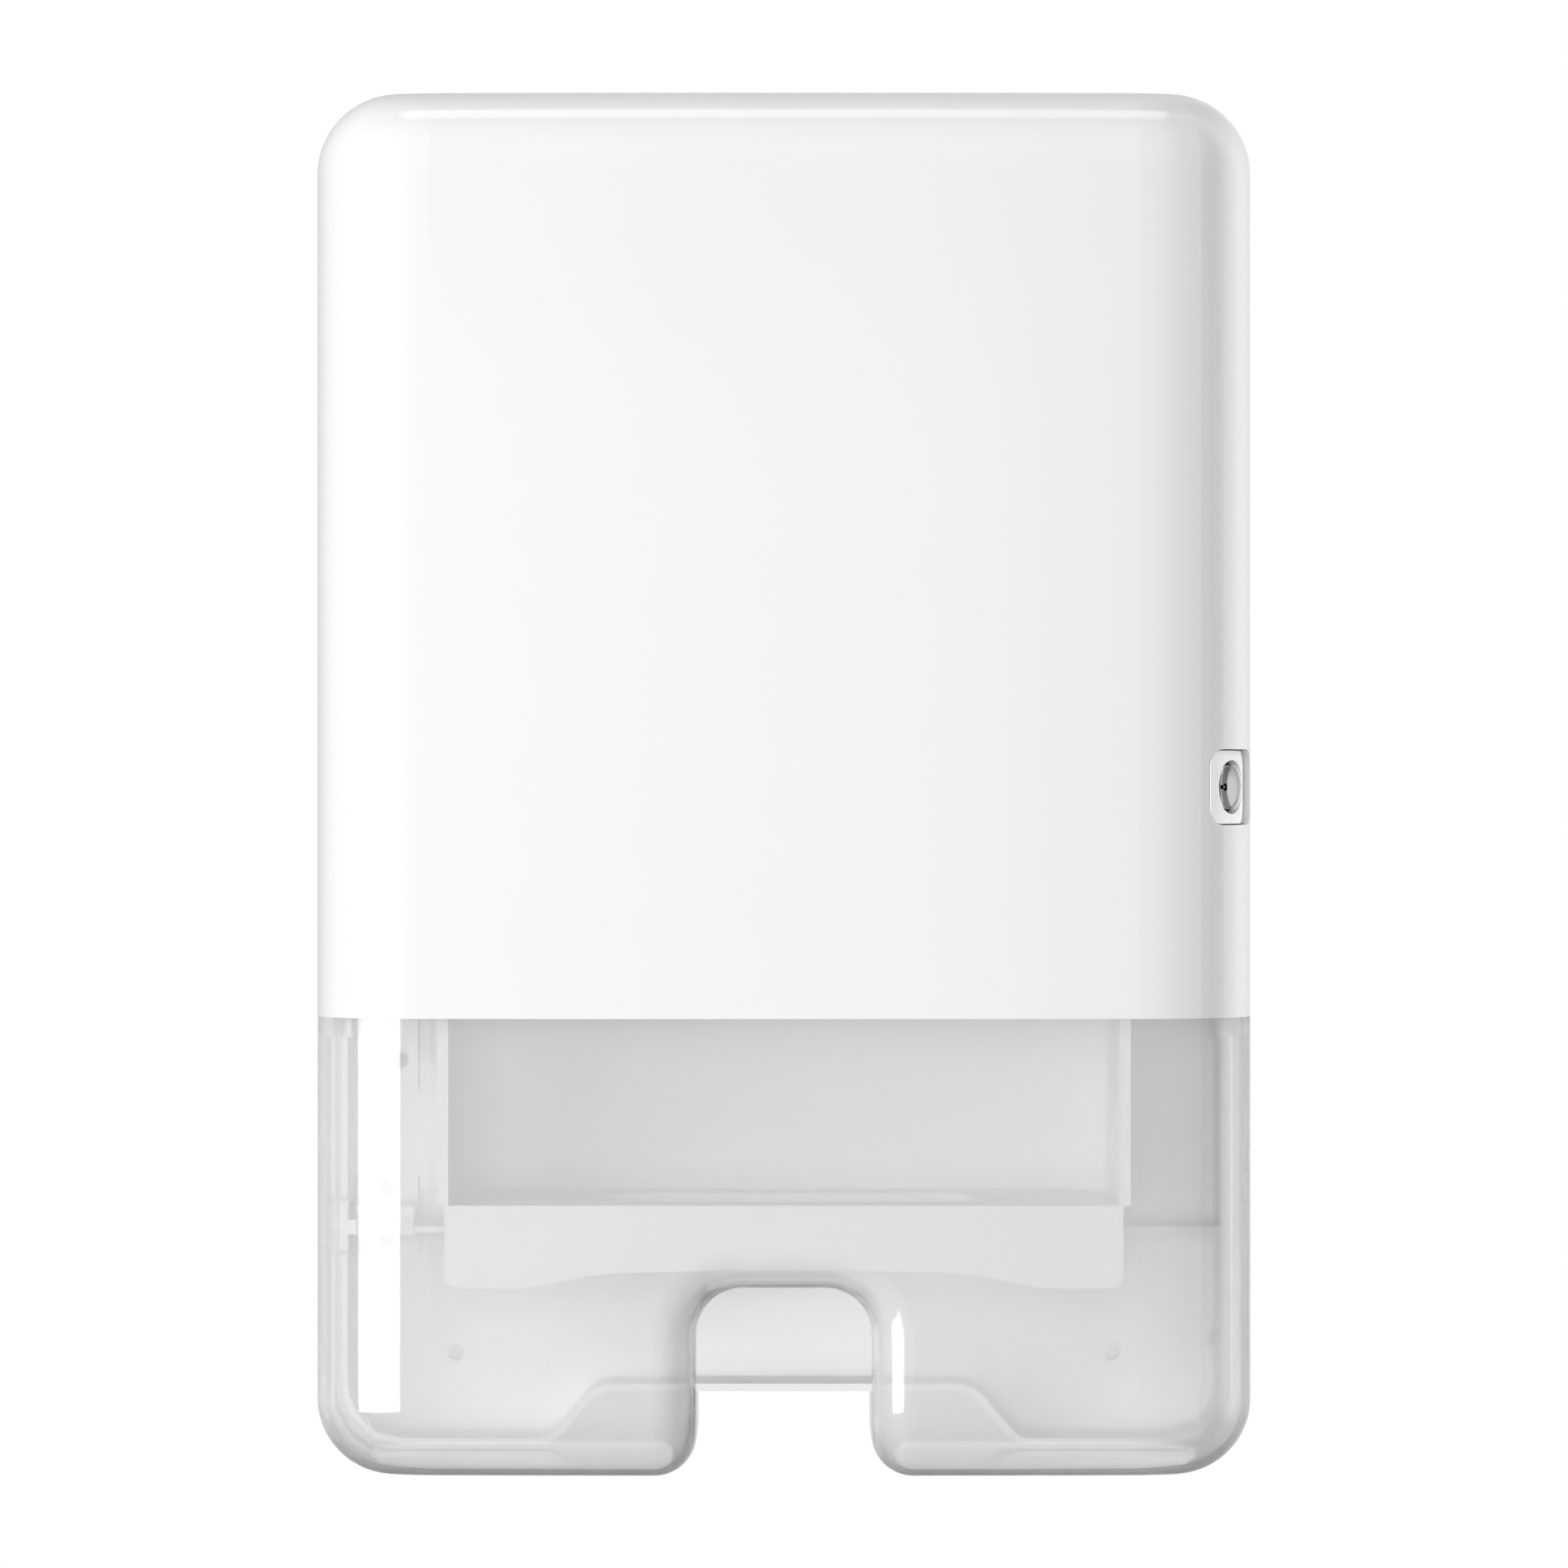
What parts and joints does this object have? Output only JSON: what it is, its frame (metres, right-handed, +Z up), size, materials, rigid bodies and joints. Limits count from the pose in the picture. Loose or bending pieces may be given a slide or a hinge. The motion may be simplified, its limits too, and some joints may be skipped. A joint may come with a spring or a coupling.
{
  "type": "interfold towel dispenser",
  "caption": "Wall-mounted interfold towel dispenser with a hinged white cover, smoked window with a finger cut-out, inner magazine and shelf, and a push-button lock.",
  "frame": {"origin": "on the wall plane, in the middle of the dispenser's back", "axes": "+X to the right seen from the room, +Z up, and the front faces -Y"},
  "size_m": [0.302, 0.102, 0.444],
  "materials": {
    "cover_white": "glossy white moulded plastic",
    "window_smoke": "glossy translucent smoke plastic",
    "housing_plastic": "satin light grey moulded plastic",
    "lock_plastic": "matt grey moulded plastic",
    "screw_steel": "zinc-plated steel",
    "plug_chrome": "polished chrome"
  },
  "bodies": {
    "housing": {"rear_housing": "housing_plastic", "left_side_guide": "housing_plastic", "right_side_guide": "housing_plastic", "guide_clip": "housing_plastic", "dispensing_shelf": "housing_plastic", "guide_screws": "screw_steel", "shelf_screws": "screw_steel", "clip_screws": "screw_steel", "hinge_bracket_lower": "housing_plastic", "hinge_bracket_upper": "housing_plastic", "bracket_screws": "screw_steel", "hinge_pin_lower": "screw_steel", "hinge_pin_upper": "screw_steel", "pin_clips": "screw_steel", "latch_tongue": "lock_plastic", "latch_screws": "screw_steel"},
    "cover": {"upper_cover": "cover_white", "lower_window": "window_smoke", "window_screws": "screw_steel", "hinge_arm_lower": "housing_plastic", "hinge_arm_upper": "housing_plastic", "arm_screws": "screw_steel", "lock_housing": "lock_plastic", "lock_screws": "screw_steel", "button_spring": "screw_steel"},
    "button": {"lock_button": "cover_white", "button_ring": "screw_steel"},
    "plug": {"key_plug": "plug_chrome", "lock_cam": "screw_steel", "cam_screw": "screw_steel"}
  },
  "joints": [
    {"name": "cover_hinge", "type": "hinge", "parent": "housing", "child": "cover", "pos_m": [-0.141, -0.03, 0], "axis": [0, 0, -1], "range_deg": [0, 95], "deforming": ["latch_tongue"]},
    {"name": "button_press", "type": "slide", "parent": "cover", "child": "button", "axis": [-0.8572, 0.515, 0], "range_m": [0, 0.003], "stiffness_N_per_m": 600, "springref_m": -0.002, "deforming": ["button_spring", "latch_tongue"]},
    {"name": "key_turn", "type": "hinge", "parent": "button", "child": "plug", "pos_m": [0.1405, -0.0842, -0.001], "axis": [0.8572, -0.515, 0], "range_deg": [0, 90]}
  ]
}
